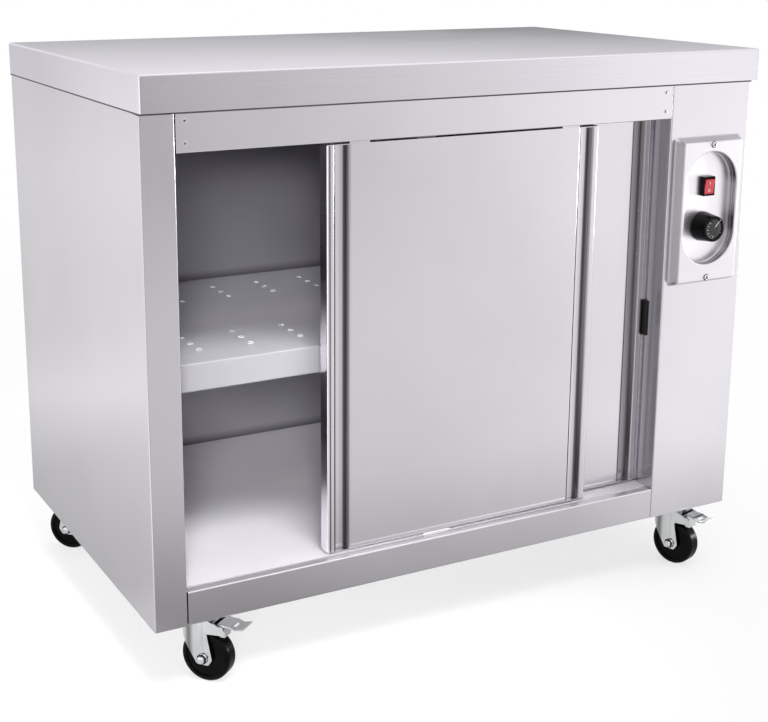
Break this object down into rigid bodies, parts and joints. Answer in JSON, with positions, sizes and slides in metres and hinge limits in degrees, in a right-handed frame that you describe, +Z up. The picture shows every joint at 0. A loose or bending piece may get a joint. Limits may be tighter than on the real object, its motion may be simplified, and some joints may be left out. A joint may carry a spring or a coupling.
{
  "type": "plate warmer cabinet",
  "caption": "Heated stainless cupboard with a flat worktop, sliding doors on rollers, a perforated inner shelf, a recessed control plate and swivel casters.",
  "frame": {"origin": "on the ground, below the middle of the worktop", "axes": "+X to the right seen from the front, where the control plate is; +Y to the back; +Z up"},
  "size_m": [1, 0.6378, 0.85],
  "materials": {
    "stainless_sheet": "folded stainless sheet, fine satin grain",
    "stainless_bright": "bright annealed stainless",
    "zinc_plated": "bright zinc plating on pressed steel",
    "mineral_wool": "matt fibre slab",
    "nylon_natural": "as moulded",
    "black_plastic": "gloss moulded",
    "black_phenolic": "satin moulded",
    "red_plastic": "gloss moulded",
    "black_rubber": "moulded rubber",
    "wheel_rubber": "gloss moulded tread and disc",
    "element_sheath": "heat-darkened sheath",
    "copper_capillary": "drawn tube",
    "wire_sleeve": "braided sleeve"
  },
  "bodies": {
    "cabinet": {"back_panel": "stainless_sheet", "base_pan": "stainless_sheet", "cable_gland": "black_plastic", "caster_plate_front_left": "zinc_plated", "caster_plate_front_right": "zinc_plated", "caster_plate_rear_left": "zinc_plated", "caster_plate_rear_right": "zinc_plated", "chamber_floor": "stainless_sheet", "control_fascia": "stainless_sheet", "control_plate": "stainless_bright", "door_bumper": "black_rubber", "door_guide": "nylon_natural", "door_track": "zinc_plated", "front_door_stop": "zinc_plated", "heating_element": "element_sheath", "insulation_back": "mineral_wool", "left_side_panel": "stainless_sheet", "liner_back": "stainless_sheet", "liner_left": "stainless_sheet", "partition": "stainless_sheet", "plate_screw_lower": "stainless_bright", "plate_screw_upper": "stainless_bright", "right_side_panel": "stainless_sheet", "shelf": "stainless_sheet", "shelf_rail_left": "stainless_sheet", "shelf_rail_right": "stainless_sheet", "sill_rail": "stainless_sheet", "switch_body": "black_plastic", "terminal_block": "nylon_natural", "thermostat_body": "black_phenolic", "thermostat_probe": "copper_capillary", "top_rail": "stainless_sheet", "wiring_harness": "wire_sleeve", "worktop": "stainless_sheet", "worktop_stiffener": "stainless_sheet"},
    "front_door": {"front_door_skin": "stainless_sheet", "front_door_pan": "stainless_sheet"},
    "front_door_roller_left": {"front_door_roller_left": "nylon_natural"},
    "front_door_roller_right": {"front_door_roller_right": "nylon_natural"},
    "rear_door": {"rear_door_skin": "stainless_sheet", "rear_door_pan": "stainless_sheet"},
    "rear_door_roller_left": {"rear_door_roller_left": "nylon_natural"},
    "rear_door_roller_right": {"rear_door_roller_right": "nylon_natural"},
    "rocker": {"power_rocker": "red_plastic"},
    "knob": {"thermostat_knob": "black_plastic", "thermostat_spindle": "stainless_bright"},
    "fork_front_left": {"caster_fork_front_left": "zinc_plated", "caster_axle_front_left": "zinc_plated"},
    "wheel_front_left": {"caster_wheel_front_left": "wheel_rubber"},
    "pedal_front_left": {"brake_pedal_front_left": "zinc_plated"},
    "fork_front_right": {"caster_fork_front_right": "zinc_plated", "caster_axle_front_right": "zinc_plated"},
    "wheel_front_right": {"caster_wheel_front_right": "wheel_rubber"},
    "pedal_front_right": {"brake_pedal_front_right": "zinc_plated"},
    "fork_rear_left": {"caster_fork_rear_left": "zinc_plated", "caster_axle_rear_left": "zinc_plated"},
    "wheel_rear_left": {"caster_wheel_rear_left": "wheel_rubber"},
    "fork_rear_right": {"caster_fork_rear_right": "zinc_plated", "caster_axle_rear_right": "zinc_plated"},
    "wheel_rear_right": {"caster_wheel_rear_right": "wheel_rubber"}
  },
  "joints": [
    {"name": "front_door_slide", "type": "slide", "parent": "cabinet", "child": "front_door", "axis": [1, 0, 0], "range_m": [-0.208, 0.119]},
    {"name": "front_door_roller_left_spin", "type": "hinge", "parent": "front_door", "child": "front_door_roller_left", "pos_m": [-0.1815, -0.2685, 0.7763], "axis": [0, 1, 0], "range_deg": [-1202, 692]},
    {"name": "front_door_roller_right_spin", "type": "hinge", "parent": "front_door", "child": "front_door_roller_right", "pos_m": [0.1685, -0.2685, 0.7763], "axis": [0, 1, 0], "range_deg": [-1202, 692]},
    {"name": "rear_door_slide", "type": "slide", "parent": "cabinet", "child": "rear_door", "axis": [1, 0, 0], "range_m": [-0.327, 0]},
    {"name": "rear_door_roller_left_spin", "type": "hinge", "parent": "rear_door", "child": "rear_door_roller_left", "pos_m": [-0.0625, -0.2435, 0.7763], "axis": [0, 1, 0], "range_deg": [-1884, 10]},
    {"name": "rear_door_roller_right_spin", "type": "hinge", "parent": "rear_door", "child": "rear_door_roller_right", "pos_m": [0.2875, -0.2435, 0.7763], "axis": [0, 1, 0], "range_deg": [-1884, 10]},
    {"name": "rocker_tilt", "type": "hinge", "parent": "cabinet", "child": "rocker", "pos_m": [0.417, -0.2953, 0.642], "axis": [1, 0, 0], "range_deg": [-16, 0]},
    {"name": "knob_turn", "type": "hinge", "parent": "cabinet", "child": "knob", "pos_m": [0.414, -0.3, 0.5785], "axis": [0, 1, 0], "range_deg": [-210, 60]},
    {"name": "swivel_front_left", "type": "hinge", "parent": "cabinet", "child": "fork_front_left", "pos_m": [-0.424, -0.2325, 0.098], "axis": [0, 0, 1], "continuous": true},
    {"name": "wheel_spin_front_left", "type": "hinge", "parent": "fork_front_left", "child": "wheel_front_left", "pos_m": [-0.40799, -0.25299, 0.0375], "axis": [0.788, 0.6157, 0], "continuous": true},
    {"name": "pedal_press_front_left", "type": "hinge", "parent": "fork_front_left", "child": "pedal_front_left", "pos_m": [-0.39075, -0.27505, 0.085], "axis": [0.788, 0.6157, 0], "range_deg": [0, 8]},
    {"name": "swivel_front_right", "type": "hinge", "parent": "cabinet", "child": "fork_front_right", "pos_m": [0.42, -0.2325, 0.098], "axis": [0, 0, 1], "continuous": true},
    {"name": "wheel_spin_front_right", "type": "hinge", "parent": "fork_front_right", "child": "wheel_front_right", "pos_m": [0.42717, -0.25749, 0.0375], "axis": [0.9613, 0.2756, 0], "continuous": true},
    {"name": "pedal_press_front_right", "type": "hinge", "parent": "fork_front_right", "child": "pedal_front_right", "pos_m": [0.43488, -0.28441, 0.085], "axis": [0.9613, 0.2756, 0], "range_deg": [0, 8]},
    {"name": "swivel_rear_left", "type": "hinge", "parent": "cabinet", "child": "fork_rear_left", "pos_m": [-0.424, 0.253, 0.098], "axis": [0, 0, 1], "continuous": true},
    {"name": "wheel_spin_rear_left", "type": "hinge", "parent": "fork_rear_left", "child": "wheel_rear_left", "pos_m": [-0.44206, 0.2717, 0.0375], "axis": [-0.7193, -0.6947, 0], "continuous": true},
    {"name": "swivel_rear_right", "type": "hinge", "parent": "cabinet", "child": "fork_rear_right", "pos_m": [0.42, 0.253, 0.098], "axis": [0, 0, 1], "continuous": true},
    {"name": "wheel_spin_rear_right", "type": "hinge", "parent": "fork_rear_right", "child": "wheel_rear_right", "pos_m": [0.41026, 0.27711, 0.0375], "axis": [-0.9272, -0.3746, 0], "continuous": true}
  ],
  "couplings": [
    {"joint": "front_door_roller_left_spin", "follows": "front_door_slide", "rad_per_m": 100},
    {"joint": "front_door_roller_right_spin", "follows": "front_door_slide", "rad_per_m": 100},
    {"joint": "rear_door_roller_left_spin", "follows": "rear_door_slide", "rad_per_m": 100},
    {"joint": "rear_door_roller_right_spin", "follows": "rear_door_slide", "rad_per_m": 100}
  ]
}
